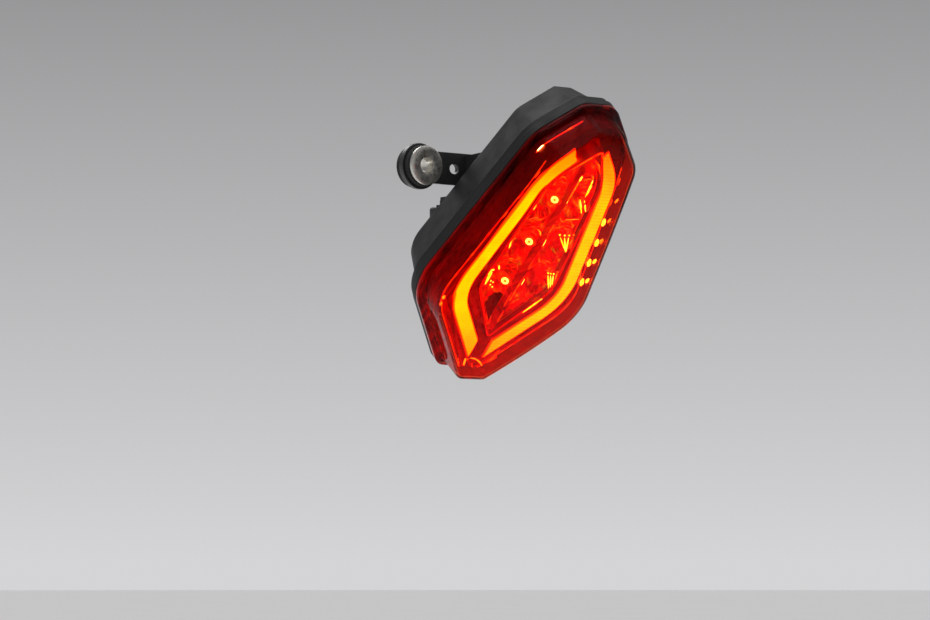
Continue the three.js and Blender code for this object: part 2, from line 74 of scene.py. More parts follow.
# ---- outlines and lofts
def outline(half, inset=0):
    """Points of a mirrored outline with rounded corners, from the bottom, anticlockwise, in mm."""
    on_axis = half[0][0] == 0
    right = [(x, y, r, 2 * n + STRAIGHT[0] if x == 0 else n) for (x, y, r), n in zip(half, ARC)]
    left = [(-x, y, r, n) for x, y, r, n in right if x > 0]
    corners = right + left[::-1]
    count = len(corners)
    edges = []
    for i, (x, y, _, _) in enumerate(corners):
        bx, by = corners[(i + 1) % count][:2]
        along = Vector((bx - x, by - y)).normalized()
        inward = Vector((-along.y, along.x))
        edges.append((along, inward, Vector((x, y)) + inward * inset))
    arcs = []
    for i, (x, y, r, steps) in enumerate(corners):
        along, inward, through = edges[i - 1]
        along2, _, through2 = edges[i]
        turn = along.x * along2.y - along.y * along2.x
        gap = through2 - through
        reach = (gap.x * along2.y - gap.y * along2.x) / turn
        angle = math.atan2(turn, along.dot(along2))
        radius = max(r - inset, 0.3)
        centre = through + along * (reach - radius * math.tan(angle / 2)) + inward * radius
        v = -inward * radius
        arc = []
        for a in (angle * k / steps for k in range(steps + 1)):
            c, s = math.cos(a), math.sin(a)
            arc.append(centre + Vector((v.x * c - v.y * s, v.x * s + v.y * c)))
        arcs.append(arc)
    parts = STRAIGHT[1 : len(half)]
    if on_axis:
        parts = parts + parts[::-1]
    else:
        parts = parts + [STRAIGHT[-1]] + parts[::-1] + [STRAIGHT[0]]
    points = []
    for i, arc in enumerate(arcs):
        points += arc
        a, b = arc[-1], arcs[(i + 1) % count][0]
        points += [a.lerp(b, k / parts[i]) for k in range(1, parts[i])]
    start = ARC[0] + STRAIGHT[0] if on_axis else 0
    return points[start:] + points[:start]


def sag(y):
    """How far the optics fall back near the lamp's top, in mm."""
    return 0.0035 * max(0, y - 30) ** 2


def ring(half, inset, z, bend=False):
    """An outline at a height, which may depend on x and y. With bend, it sags as the optics do."""
    height = z if callable(z) else lambda x, y: z
    return [Vector((p.x, p.y, height(p.x, p.y) - (sag(p.y) if bend else 0))) for p in outline(half, inset)]


def drawn_in(points, share, height, middle=-6):
    """The points shrunk towards the lamp's middle, at a height."""
    flat = [(p.x * share, middle + (p.y - middle) * share) for p in points]
    return [(x, y, height(x, y)) for x, y in flat]


def band(bm, low, high, slots=None):
    """Faces between two closed loops of vertices, with a material index for each."""
    for i in range(len(low)):
        j = (i + 1) % len(low)
        bm.faces.new((low[i], low[j], high[j], high[i])).material_index = slots[i] if slots else 0


def solid(bm, low, high):
    """A solid between two closed loops of vertices."""
    bm.faces.new(low)
    bm.faces.new(high)
    band(bm, low, high)


def at(matrix, x=0, y=0, z=0):
    """The axes moved by a distance in millimetres."""
    return matrix @ Matrix.Translation((x * MM, y * MM, z * MM))


def linked(name, data):
    obj = bpy.data.objects.new(name, data)
    bpy.context.scene.collection.objects.link(obj)
    return obj


def new_object(name, bm, matrix, mats):
    mesh = bpy.data.meshes.new(name)
    bmesh.ops.recalc_face_normals(bm, faces=bm.faces)
    bm.transform(matrix @ Matrix.Scale(MM, 4))
    bm.to_mesh(mesh)
    bm.free()
    for m in mats:
        mesh.materials.append(m)
    return linked(name, mesh)


def loft(name, rings, matrix, mats, closed=False, slots=None):
    """Skins rings of equal length. slots gives a material index for each span."""
    bm = bmesh.new()
    rows = [[bm.verts.new(p) for p in r] for r in rings]
    spans = len(rows) if closed else len(rows) - 1
    for k in range(spans):
        band(bm, rows[k], rows[(k + 1) % len(rows)], [slots[k]] * len(rows[k]) if slots else None)
    if not closed:
        for row in (rows[0], rows[-1]):
            bm.faces.new(row)
    return new_object(name, bm, matrix, mats)


def prism(name, points, back, front, matrix, mats):
    bm = bmesh.new()
    solid(bm, *([bm.verts.new((p[0], p[1], z)) for p in points] for z in (back, front)))
    return new_object(name, bm, matrix, mats)


def box(name, size, centre, matrix, mats):
    bm = bmesh.new()
    bmesh.ops.create_cube(bm, size=1)
    bm.transform(Matrix.Translation(centre) @ Matrix.Diagonal((*size, 1)))
    return new_object(name, bm, matrix, mats)


def lathe(name, profile, matrix, mats, segments=48, slots=None):
    """A piece turned about z. Its (radius, z) pairs start and end on the axis, or close on themselves."""
    bm = bmesh.new()
    turns = [2 * math.pi * k / segments for k in range(segments)]
    rows = []
    for r, z in profile:
        angles = turns if r else [0]
        rows.append([bm.verts.new((r * math.cos(t), r * math.sin(t), z)) for t in angles])
    following = rows[1:] + ([] if profile[0][0] == 0 else [rows[0]])
    for k, (a, b) in enumerate(zip(rows, following)):
        for i in range(segments):
            j = (i + 1) % segments
            quad = [a[i % len(a)], a[j % len(a)], b[j % len(b)], b[i % len(b)]]
            unique = list(dict.fromkeys(quad))
            if len(unique) > 2:
                bm.faces.new(unique).material_index = slots[k] if slots else 0
    return new_object(name, bm, matrix, mats)


def apply_modifiers(obj):
    bpy.context.view_layer.update()
    depsgraph = bpy.context.evaluated_depsgraph_get()
    mesh = bpy.data.meshes.new_from_object(obj.evaluated_get(depsgraph))
    obj.modifiers.clear()
    obj.data = mesh
    return obj


def boolean(obj, others, operation="DIFFERENCE"):
    for other in others:
        m = obj.modifiers.new("cut", "BOOLEAN")
        m.object, m.operation, m.solver = other, operation, "EXACT"
    apply_modifiers(obj)
    for other in others:
        bpy.data.objects.remove(other)
    return obj


def bevel(obj, width, segments=2, angle=35):
    m = obj.modifiers.new("bevel", "BEVEL")
    m.width, m.segments, m.limit_method = width * MM, segments, "ANGLE"
    m.angle_limit = math.radians(angle)
    return apply_modifiers(obj)


def smooth(obj, angle=35):
    """Smooth shading with creases kept sharp."""
    bm = bmesh.new()
    bm.from_mesh(obj.data)
    for f in bm.faces:
        f.smooth = True
    for e in bm.edges:
        e.smooth = not (len(e.link_faces) == 2 and e.calc_face_angle(0) > math.radians(angle))
    bm.to_mesh(obj.data)
    bm.free()
    return obj


def piece(obj, slot, *replaced, angle=35, flats=False):
    """Hands over a finished piece. With flats, large faces keep their own normals beside rounded edges."""
    smooth(obj, angle)
    if flats:
        obj.modifiers.new("normals", "WEIGHTED_NORMAL").keep_sharp = True
        apply_modifiers(obj)
    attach(obj, "root")
    if replaced:
        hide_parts(*replaced)
    return obj


# ---- materials
class Nodes:
    """Builds a Principled material with its texture nodes."""

    def __init__(self, name, metallic=0, coat=0, spec=0.5):
        self.material = bpy.data.materials.new(name)
        self.material.use_nodes = True
        self.tree = self.material.node_tree
        self.bsdf = self.tree.nodes["Principled BSDF"]
        self.object = self.add("TexCoord").outputs["Object"]
        self.set("Metallic", metallic)
        self.set("Coat Weight", coat)
        self.set("Coat Roughness", 0.06)
        self.set("Specular IOR Level", spec)
        self.normal = None

    def add(self, kind, **inputs):
        node = self.tree.nodes.new("ShaderNode" + kind)
        for name, value in inputs.items():
            node.inputs[name].default_value = value
        return node

    def set(self, socket, value):
        self.bsdf.inputs[socket].default_value = value

    def wire(self, out, socket):
        self.tree.links.new(out, self.bsdf.inputs[socket])

    def link(self, value, node, socket="Vector", output=0):
        """Feeds a node and gives its output."""
        self.tree.links.new(value, node.inputs[socket])
        return node.outputs[output]

    def stretched(self, scale, lamp=False):
        """Object coordinates, scaled. With lamp, in the lamp's own axes."""
        vector = self.object
        if lamp:
            turn = self.add("Mapping", Location=LAMP.translation, Rotation=(LEAN, 0, 0))
            turn.vector_type = "TEXTURE"
            vector = self.link(vector, turn)
        return self.link(vector, self.add("Mapping", Scale=scale))

    def calc(self, operation, a, b):
        """A Math node on sockets or plain floats."""
        node = self.add("Math")
        node.operation = operation
        for socket, value in zip(node.inputs, (a, b)):
            if isinstance(value, float):
                socket.default_value = value
            else:
                self.tree.links.new(value, socket)
        return node.outputs["Value"]

    def lamp_axes(self):
        split = self.add("SeparateXYZ")
        self.link(self.stretched((1, 1, 1), lamp=True), split)
        return split.outputs

    def along_sides(self, across, along):
        """Coordinates whose first axis is the distance from the lamp's sides, so that the streaks of painted
        glow follow them.
        """
        x, y, _ = self.lamp_axes()
        x = self.calc("ABSOLUTE", x, 0.0)
        # (a, b, c) of the lens's upper and lower side: a x + b y = c mm
        sides = []
        for a, b, c in ((0.978, 0.21, 33.45), (0.758, -0.651, 52.45)):
            level = self.calc("ADD", self.calc("MULTIPLY", x, a), self.calc("MULTIPLY", y, b))
            sides.append(self.calc("SUBTRACT", level, c * MM))
        join = self.add("CombineXYZ")
        self.link(self.calc("MULTIPLY", self.calc("MAXIMUM", *sides), across), join, "X")
        self.link(self.calc("MULTIPLY", y, along), join, "Y")
        return join.outputs["Vector"]

    def noise(self, size_mm, detail=3, vector=None, distortion=0):
        node = self.add("TexNoise", Scale=1 / (size_mm * MM), Detail=detail, Distortion=distortion)
        return self.link(vector or self.object, node, output="Fac")

    def cells(self, size_mm, vector=None, feature="F1"):
        node = self.add("TexVoronoi", Scale=1 / (size_mm * MM))
        node.feature = feature
        return self.link(vector or self.object, node, output="Distance")

    def waves(self, size_mm, vector=None, distortion=0):
        """Bands across y, one in size_mm. A wave node of scale 1 has a band in 0.314 m."""
        node = self.add("TexWave", Scale=0.314 / (size_mm * MM), Distortion=distortion)
        node.bands_direction = "Y"
        return self.link(vector or self.object, node, output="Fac")

    def remap(self, value, low, high, to_low, to_high):
        node = self.add("MapRange")
        for socket, number in zip(node.inputs[1:5], (low, high, to_low, to_high)):
            socket.default_value = number
        return self.link(value, node, "Value", "Result")

    def ramp(self, value, *stops):
        node = self.add("ValToRGB")
        elements = node.color_ramp.elements
        while len(elements) < len(stops):
            elements.new(0.5)
        for element, (position, color) in zip(elements, stops):
            element.position, element.color = position, (*color, 1)
        return self.link(value, node, "Fac", "Color")

    def bump(self, height, strength, distance_mm):
        """Relief, on top of any that came before."""
        node = self.add("Bump", Strength=strength, Distance=distance_mm * MM)
        if self.normal:
            self.link(self.normal, node, "Normal")
        self.normal = self.link(height, node, "Height")
        self.wire(self.normal, "Normal")

    def emit(self, one, other):
        self.wire(self.calc("MULTIPLY", one, other), "Emission Strength")

    def lit_red(self, streaks, low, high, least, most, top, foot, head):
        """Painted red glow in streaks, standing in for the lamp's light on the surface, which changes from
        foot to head between the lamp's foot and a height.
        """
        self.set("Emission Color", (1, 0, 0, 1))
        slope = self.remap(self.lamp_axes()["Y"], -66 * MM, top * MM, foot, head)
        self.emit(self.remap(streaks, low, high, least, most), slope)

    def shade(self, base, vary, size_mm):
        """Slow changes of shade round a base colour."""
        low = [c * (1 - vary) for c in base]
        high = [min(1, c * (1 + vary)) for c in base]
        self.wire(self.ramp(self.noise(size_mm, 5), (0.3, low), (0.72, high)), "Base Color")

    def dull(self, rough, size_mm, spread=0.2):
        low, high = rough * (1 - spread), min(1, rough * (1 + spread))
        self.wire(self.remap(self.noise(size_mm, 4), 0.3, 0.7, low, high), "Roughness")


def plastic(name, base, rough, grain, grain_mm, coat=0, spec=0.5):
    """Moulded plastic with a fine leather-like grain, faint flow marks and rubbed patches."""
    n = Nodes(name, coat=coat, spec=spec)
    n.shade(base, 0.22, 14)
    n.dull(rough, 9)
    n.bump(n.cells(grain_mm), grain, 0.08)
    n.bump(n.noise(grain_mm * 0.4, 2), grain * 0.5, 0.03)
    return n.material


def metal(name, base, rough, lines=0.3):
    """Plated or bare metal with fine tool lines and uneven plating."""
    n = Nodes(name, metallic=1)
    n.shade(base, 0.1, 6)
    n.dull(rough, 2.5, 0.3)
    n.bump(n.noise(0.25, 4, n.stretched((1, 0.04, 1))), lines, 0.02)
    return n.material


def rubber(name, base, rough=0.78):
    n = Nodes(name, spec=0.3)
    n.shade(base, 0.25, 5)
    n.dull(rough, 3, 0.1)
    n.bump(n.noise(0.35, 3), 0.3, 0.05)
    return n.material


def red_plastic(name, base, glow, rough=0.28, low=0.5, high=1.3, size_mm=7, foot=1, head=1):
    """Deep red plastic with a painted glow that stands in for the lamp's own light on it, uneven, in streaks
    along its length.
    """
    n = Nodes(name)
    n.shade(base, 0.2, 5)
    n.dull(rough, 4)
    streaks = n.noise(size_mm, 4, n.along_sides(2.6, 0.3), 0.35)
    n.lit_red(streaks, 0.34, 0.68, glow * low, glow * high, 60, foot, head)
    n.bump(n.noise(0.8, 3), 0.05, 0.05)
    return n.material


def red_chrome():
    """Metallised red reflector: fine facets, and a painted glow standing in for the lamp's light, pooled in
    patches and thin curved streaks.
    """
    n = Nodes("red_chrome", metallic=0.85, coat=0.3)
    n.shade((0.42, 0.006, 0.004), 0.15, 3)
    n.dull(0.15, 2)
    painted_pools = n.remap(n.noise(7.5, 3, distortion=0.6), 0.36, 0.62, 0.26, 0.95)
    painted_streaks = n.remap(n.cells(4.6, n.stretched((1, 0.5, 1), lamp=True), "DISTANCE_TO_EDGE"), 0, 0.09, 1.5, 0.95)
    n.emit(painted_pools, painted_streaks)
    hues = (0.53, (1, 0, 0)), (0.64, (1, 0.6, 0)), (0.76, (1, 3, 0))
    n.wire(n.ramp(n.noise(2.6, 4, distortion=0.5), *hues), "Emission Color")
    n.bump(n.cells(1.6, n.stretched((1, 0.5, 1), lamp=True)), 0.3, 0.2)
    return n.material


def lens_material(name, spec, sheen, base=(0.9, 0.088, 0.02), painted_glow=0):
    """Red acrylic. Light shines straight through it, tinted. The last argument gives its edges a painted red
    glow in streaks, fading towards the lamp's head, in place of the lamp's light they carry.
    """
    n = Nodes(name, spec=spec)
    n.shade(base, 0.03, 8)
    n.dull(0.025, 6)
    n.set("Transmission Weight", 1)
    n.set("IOR", 1.12)
    n.set("Specular Tint", (*sheen, 1))
    n.bump(n.noise(9, 2), 0.03, 0.1)
    if painted_glow:
        streaks = n.noise(2.2, 4, n.stretched((1, 0.12, 1), lamp=True), 0.4)
        n.lit_red(streaks, 0.42, 0.7, 0, painted_glow, 30, 1, 0.12)
    mix = n.add("MixShader")
    n.link(n.add("LightPath").outputs["Is Shadow Ray"], mix, "Fac")
    n.link(n.bsdf.outputs["BSDF"], mix, 1)
    n.link(n.add("BsdfTransparent", Color=(0.8, 0.16, 0.1, 1)).outputs["BSDF"], mix, 2)
    n.tree.links.new(mix.outputs["Shader"], n.tree.nodes["Material Output"].inputs["Surface"])
    return n.material


def guide_material(name, foot, middle, head, strength, groove=0.84):
    """Lit guide: its colour deepens towards both ends, with faint prism lines across it."""
    n = Nodes(name)
    n.shade((0.9, 0.4, 0.05), 0.05, 3)
    n.dull(0.3, 3)
    way = n.remap(n.lamp_axes()["Y"], -62 * MM, 54 * MM, 0, 1)
    low, high = ([0.5 * (a + b) for a, b in zip(end, middle)] for end in (foot, head))
    hues = (0, foot), (0.12, low), (0.22, middle), (0.76, middle), (0.88, high), (1, head)
    n.wire(n.ramp(way, *hues), "Emission Color")
    clouds = n.remap(n.noise(6, 4), 0.3, 0.7, strength * 0.86, strength * 1.1)
    n.emit(clouds, n.remap(n.waves(1.7, n.stretched((1, 1, 1), lamp=True)), 0.1, 0.6, groove, 1))
    return n.material


def glow(name, low, high, strength, size_mm=1.5, base=(0.8, 0.25, 0.1)):
    """A glowing surface whose colour wanders between low and high: the lamp's pipes and LEDs, and also
    painted glints.
    """
    n = Nodes(name)
    n.shade(base, 0.1, 2)
    n.dull(0.2, 2)
    n.wire(n.ramp(n.noise(size_mm, 2), (0.38, low), (0.62, high)), "Emission Color")
    n.set("Emission Strength", strength)
    return n.material


def board_material():
    n = Nodes("solder_mask", coat=0.4)
    greens = (0.35, (0.010, 0.09, 0.035)), (0.5, (0.02, 0.17, 0.07))
    n.wire(n.ramp(n.waves(1.2, distortion=3), *greens), "Base Color")
    n.dull(0.32, 5)
    n.bump(n.waves(1.2, distortion=3), 0.25, 0.04)
    return n.material


RED_LENS = lens_material("red_lens", 0.4, (1, 0.2, 0.2))
# The lens's shoulder, walls and flange: a darker tint than the face, painted shade, and a painted red glow in
# streaks.
RED_EDGE = lens_material("red_lens_edge", 0.8, (1, 0.7, 0.8), (0.55, 0.05, 0.03), 0.22)
GUIDE_HUES = (1, 0.27, 0), (1, 0.53, 0), (1, 0.15, 0)
GUIDE_FACE = guide_material("guide_face", *GUIDE_HUES, 16)
GUIDE_CUT = guide_material("guide_face_cut", *GUIDE_HUES, 15, 0.68)
GUIDE_EDGE = guide_material("guide_edge", (1, 0.05, 0), (1, 0.14, 0), (1, 0.04, 0), 12)
GUIDE_SIDE = guide_material("guide_side", (1, 0.008, 0), (1, 0.016, 0), (1, 0.008, 0), 2)
# Copies of the one red trim plastic, each with a painted glow standing in for the lamp's light on it: the
# first fades from bright at the lamp's foot to almost none at its head, painted shade at the top; the gap
# copy, on the bands beside the rim, glows more evenly; the darker copy is painted shade, on the bezel's outer
# wall and underside and in the dish's left pocket; the rim copy is brighter, a painted highlight on the rim's
# crest; the spine copy is brighter still, painted glow on the blade.
TRIM = red_plastic("red_trim", (0.07, 0.001, 0.001), 0.3, low=0.35, high=1.7, size_mm=4, foot=1.9, head=0.04)
TRIM_GAP = red_plastic("red_trim_gap", (0.08, 0.001, 0.001), 0.3, low=0.4, high=1.6, size_mm=4, foot=1.2,
                       head=0.7)
TRIM_SHADED = red_plastic("red_trim_painted_shade", (0.05, 0.001, 0.001), 0.12, foot=1.6, head=0.3)
RIM_HIGHLIGHT = red_plastic("red_rim_painted_highlight", (0.25, 0.002, 0.002), 0.95, low=0.4, high=1.6, size_mm=5)
SPINE = red_plastic("red_spine", (0.2, 0.002, 0.002), 0.35, low=0.3, high=2.2, size_mm=3)
CHROME = red_chrome()
PIPE = glow("light_pipe", (1, 0, 0), (1, 0.1, 0), 1)
# The pipe lenses' white-hot ring; the same glow is a painted highlight on the lens's upper left edge.
HOT = glow("pipe_ring_and_glint", (1, 1, 0.5), (1, 0.9, 0.3), 26)
WARM = glow("pipe_middle", (1, 0.16, 0), (1, 0.5, 0.02), 9)
EMBER = glow("pipe_collar", (1, 0.04, 0), (1, 0.2, 0), 4)
# Painted glints: glow for the beads and ribs that stand in for light caught on prisms, crests and edges.
SPARK = glow("spark", (1, 0.7, 0), (1, 1, 0.25), 18)
AMBER = glow("spark_amber", (1, 0.3, 0), (1, 0.7, 0.05), 9)
ORANGE = glow("spark_orange", (1, 0.03, 0), (1, 0.5, 0), 6, size_mm=2.5)
RUBY = glow("spark_red", (1, 0, 0), (1, 0.25, 0), 3, size_mm=4)
BLACK = plastic("black_plastic", (0.008, 0.008, 0.0085), 0.58, 0.35, 0.5, spec=0.32)
NYLON = plastic("black_nylon", (0.011, 0.011, 0.012), 0.42, 0.15, 0.3)
WHITE = plastic("white_plastic", (0.75, 0.73, 0.7), 0.45, 0.05, 0.5)
CHIP = plastic("chip", (0.012, 0.012, 0.013), 0.5, 0.15, 0.15)
VENT = plastic("vent", (0.035, 0.035, 0.038), 0.6, 0.2, 0.3)
RUBBER = rubber("rubber", (0.012, 0.012, 0.0125))
BUTYL = rubber("butyl", (0.02, 0.02, 0.022), 0.6)
ZINC = metal("zinc", (0.62, 0.6, 0.55), 0.3)
ALUMINIUM = metal("aluminium", (0.7, 0.71, 0.72), 0.35, 0.45)
TIN = metal("tin", (0.68, 0.66, 0.6), 0.25, 0.15)
COATED = plastic("black_steel", (0.014, 0.014, 0.015), 0.36, 0.22, 0.35, coat=0.2)
BOARD = board_material()
LED = glow("led", (1, 0.2, 0), (1, 0.4, 0.05), 3, base=(0.9, 0.75, 0.4))

CAD_LOOKS = {
    "black_steel": COATED, "zinc_steel": ZINC, "spreader_aluminium": ALUMINIUM, "can_aluminium": ALUMINIUM,
    "board": BOARD, "chip": CHIP, "led": LED, "tin": TIN, "white_tray": WHITE, "rubber": RUBBER,
    "seal": BUTYL, "vent_plastic": VENT, "housing_plastic": BLACK, "red_trim": TRIM, "red_reflector": CHROME,
    "clear_optic": PIPE, "light_guide": GUIDE_SIDE, "red_lens": RED_LENS,
}
for part in frame["record"]["subparts"]:
    for s in nodes[part["node"]].material_slots:
        s.material = CAD_LOOKS[part["material_slot"]]


# ---- lens
def face_height(shoulder, crown=3):
    """The height of the lens's crowned face, as a function of x and y."""
    def fall(d, reach):
        return max(0, 1 - (d / reach) ** 2)
    return lambda x, y: shoulder + crown * fall(x, 38) * fall(y + 3, 74)


def lens():
    """The outer lens: a thin shell with a soft shoulder, deep walls and a flange."""
    outside, inside = face_height(5.6), face_height(4.2)
    shoulder, hollow, wall = 3.2, 1.8, 1.4
    shares = (0.04, 0.14, 0.26, 0.38, 0.5, 0.62, 0.74, 0.86, 0.95)
    top, low = ring(LENS, shoulder, outside), ring(LENS, shoulder, inside)
    rows = [drawn_in(top, share, outside) for share in shares] + [top]
    for a in (math.pi / 2 * k / 12 for k in range(1, 13)):
        drop = shoulder * (1 - math.cos(a))
        rows.append(ring(LENS, shoulder * (1 - math.sin(a)), lambda x, y, d=drop: outside(x, y) - d))
    edge_from = len(rows) - 4
    rows.append(ring(LENS, -0.3, lambda x, y: 0.5 * (outside(x, y) - 3.2) - 4.5))
    for inset, z in ((-0.6, -8.3), (-0.9, -8.85), (-1.4, -9), (-3.3, -9), (-3.6, -9.3), (-3.6, -11.7),
                     (-3.3, -12), (-0.7, -12), (-0.7, -15), (1.4, -15), (1.35, -9)):
        rows.append(ring(LENS, inset, z))
    edge_to = len(rows) - 1
    for a in (math.pi / 2 * k / 10 for k in range(10)):
        lower = hollow * (math.sin(a) - 1)
        rows.append(ring(LENS, wall + hollow * (1 - math.cos(a)), lambda x, y, d=lower: inside(x, y) + d))
    rows += [low] + [drawn_in(low, share, inside) for share in shares[::-1]]
    # The shoulder, walls and flange take the lens's edge copy, with painted shade and a painted glow.
    slots = [1 if edge_from <= k < edge_to else 0 for k in range(len(rows))]
    shell = loft("lens_shell", rows, LAMP, [RED_LENS, RED_EDGE], slots=slots)
    return piece(shell, "red_lens", "outer_lens", angle=50)


# ---- light guides
def beyond(points, test):
    """The part of an open line where test is positive, with its ends cut exactly."""
    kept = []
    for p, q in zip(points, points[1:]):
        a, b = test(p), test(q)
        if a >= 0:
            kept.append(p)
        if (a >= 0) != (b >= 0):
            kept.append(p.lerp(q, a / (a - b)))
    if test(points[-1]) >= 0:
        kept.append(points[-1])
    return kept


def guide_line(inset, tip_x=4.3):
    """The right guide's edge at an inset, from the lower tip to the slanted upper end."""
    half = [p for p in outline(GUIDE, inset) if p.x > 0]
    (ax, ay), (bx, by) = (9.3, 53), (6.5, 48.3)
    half = beyond(half, lambda p: p.x - tip_x)
    return beyond(half, lambda p: (bx - ax) * (p.y - ay) - (by - ay) * (p.x - ax) if p.y > 20 else 1)


def resampled(points, count):
    """An open line as evenly spaced points."""
    lengths = [0]
    for p, q in zip(points, points[1:]):
        lengths.append(lengths[-1] + (q - p).length)
    out, k = [], 0
    for i in range(count):
        target = lengths[-1] * i / (count - 1)
        while k < len(points) - 2 and lengths[k + 1] < target:
            k += 1
        span = lengths[k + 1] - lengths[k]
        out.append(points[k].lerp(points[k + 1], (target - lengths[k]) / span if span else 0))
    return out


def guide(side, hand):
    """A bar of light, a little narrower than its slot in the bezel."""
    outer, inner = resampled(guide_line(-0.1), 150), resampled(guide_line(6.7), 150)
    # across the bar: share of the way to the inner edge, depth, material of the strip after it
    section = [(0, -6.2, 2), (0, -0.5, 1), (0.02, -0.16, 1), (0.07, 0, 0), (0.5, 0.15, 0), (0.93, 0, 1),
               (0.98, -0.16, 1), (1, -0.5, 2), (1, -6.2, 2)]
    bm = bmesh.new()
    rows = []
    for a, b in zip(outer, inner):
        places = ((a.lerp(b, share), z) for share, z, _ in section)
        rows.append([bm.verts.new((side * p.x, p.y, z - sag(p.y))) for p, z in places])
    for low, high in zip(rows, rows[1:]):
        band(bm, low, high, [strip for _, _, strip in section])
    for row in (rows[0], rows[-1]):
        bm.faces.new(row).material_index = 1
    face = GUIDE_FACE if side < 0 else GUIDE_CUT
    obj = new_object(f"guide_bar_{hand}", bm, LAMP, [face, GUIDE_EDGE, GUIDE_SIDE])
    return piece(obj, "light_guide", f"light_guide_{hand}", angle=60)


# ---- bezel
def slot_cutter():
    """Cuts the slots of both guides at once."""
    points = resampled(guide_line(-0.3, 4), 90) + resampled(guide_line(6.95, 4), 90)[::-1]
    bm = bmesh.new()
    for side in (-1, 1):
        solid(bm, *([bm.verts.new((side * p.x, p.y, z)) for p in points] for z in (-14, 0.25)))
    return new_object("cutter", bm, LAMP, [TRIM_SHADED])


def rise(y):
    """The rim round the brake optic stands higher towards its top, in mm."""
    return 0.0045 * max(0, y - 30) ** 2


def rim_ring(inset, z):
    return [(p.x, p.y, z + rise(p.y)) for p in outline(RIM_LINE, inset)]


def bezel():
    """The frame round the guides and the brake optic, from its outer wall over the rim and back beneath."""
    over = ((LENS, 2.9, -1.6), (LENS, 3.6, -1), (GUIDE, -0.9, -0.75), (GUIDE, 0, -0.6), (GUIDE, 2, -0.6),
            (RIM_LINE, -1.9, -0.9), (RIM_LINE, -1.2, -1.6))
    rim = ((-1.05, -0.9), (-0.98, 0.1), (-0.75, 0.42), (-0.45, 0.5), (-0.1, 0.38), (0.1, 0))
    under = ((RIM_LINE, 0.4, -2.2), (RIM_LINE, -0.6, -2.6), (RIM_LINE, -1.2, -3.4), (GUIDE, 2, -3.6),
             (GUIDE, 0, -3.6))
    rows = [ring(LENS, 2, -12), ring(LENS, 2.5, -2.6)]
    rows += [ring(*line, bend=True) for line in over]
    rows += [rim_ring(*line) for line in rim]
    rows += [ring(*line, bend=True) for line in under]
    rows += [ring(LENS, 3.4, -7), ring(LENS, 3.1, -12)]
    # Bands of the frame: 1 the darker trim copy, painted shade, on the outer wall and beneath; 0 the margin;
    # 3 the bands either side of the rim's crest; 2 the crest, a brighter copy with a painted highlight. All
    # carry the trim's painted glow.
    slots = [1, 1, 0, 0, 0, 0, 3, 3, 3, 3, 2, 2, 2, 2, 3, 1, 1, 1, 1, 1, 1, 1]
    obj = loft("bezel_frame", rows, LAMP, [TRIM, TRIM_SHADED, RIM_HIGHLIGHT, TRIM_GAP], closed=True, slots=slots)
    boolean(obj, [slot_cutter()])
    return piece(obj, "red_trim", "bezel", angle=40)


# ---- brake optic
CUP_Z, CUP_DEPTH = 1, 9.5


def bowl(centre, radii, ribs=18, depth=0.05):
    """A fluted ellipsoid that cuts one reflector cup."""
    bm = bmesh.new()
    bmesh.ops.create_uvsphere(bm, u_segments=ribs * 6, v_segments=30, radius=1)
    for v in bm.verts:
        flat = math.hypot(v.co.x, v.co.y)
        turn = math.atan2(v.co.y, v.co.x)
        v.co *= 1 - depth * flat * (1 - abs(math.cos(turn * ribs / 2)))
    bm.transform(Matrix.Translation(centre) @ Matrix.Diagonal((*radii, 1)))
    return new_object("cutter", bm, LAMP, [CHROME])


def reflector():
    """The dish: six fluted cups with holes for the light pipes, the blade's slot, and two pockets."""
    plate = prism("reflector_dish", [(p.x, p.y) for p in outline(RIM_LINE, 0.9)], -9.9, -2.2, LAMP, [CHROME])
    pocket = [(2.6, -42.9), (10.3, -33.1), (9.4, -31.6), (4.2, -27.4), (2.6, -28)]
    hole = [(0, -14), (2.5, -14), (2.5, 0), (0, 0)]
    cutters = []
    for x, y, (cx, cy, rx, ry) in COLUMN:
        for side in (-1, 1):
            cutters.append(bowl((side * cx, cy, CUP_Z), (rx, ry, CUP_DEPTH)))
            cutters.append(lathe("cutter", hole, at(LAMP, side * x, y), [CHROME], 40))
    for side in (-1, 1):
        cutters.append(prism("cutter", [(side * x, y) for x, y in pocket], -4.2, 0, LAMP, [CHROME]))
    cutters.append(box("cutter", (1.8, 200, 8), (0, 0, -0.7), LAMP, [CHROME]))
    boolean(plate, cutters)
    # Painted shade: the faces of the left pocket take the darker trim copy, while the right pocket stays
    # chrome.
    plate.data.materials.append(TRIM_SHADED)
    to_lamp = LAMP.inverted()
    for face in plate.data.polygons:
        spot = to_lamp @ face.center / MM
        if spot.x < 0 and spot.y < -25 + 0.83 * spot.x and -4.5 < spot.z < -2.4:
            face.material_index = 1
    return piece(plate, "red_reflector", "reflector", angle=24)


def blade():
    """The ridge down the middle: a long leaf, drawn in towards its crest."""
    leaf = [(0, -47.2, 0.6), (2.6, -39.4, 0), (1, 33, 0), (0, 45, -0.6)]
    heights = ((-4.4, 0.5), (-2.3, 1), (-1.2, 0.66), (-0.5, 0.42), (0, 0.34), (0.35, 0.22), (0.5, 0.08))
    steps = 14
    rows = []
    for z, pull in heights:
        half = [(x * pull, y + shift * (1 - pull)) for x, y, shift in leaf]
        line = []
        for (x0, y0), (x1, y1) in zip(half, half[1:]):
            line += [(x0 + (x1 - x0) * k / steps, y0 + (y1 - y0) * k / steps) for k in range(steps)]
        line.append(half[-1])
        loop = line + [(-x, y) for x, y in line[-2:0:-1]]
        rows.append([(x, y, z) for x, y in loop])
    return piece(loft("blade", rows, LAMP, [SPINE]), "red_trim", "centre_blade", angle=25)


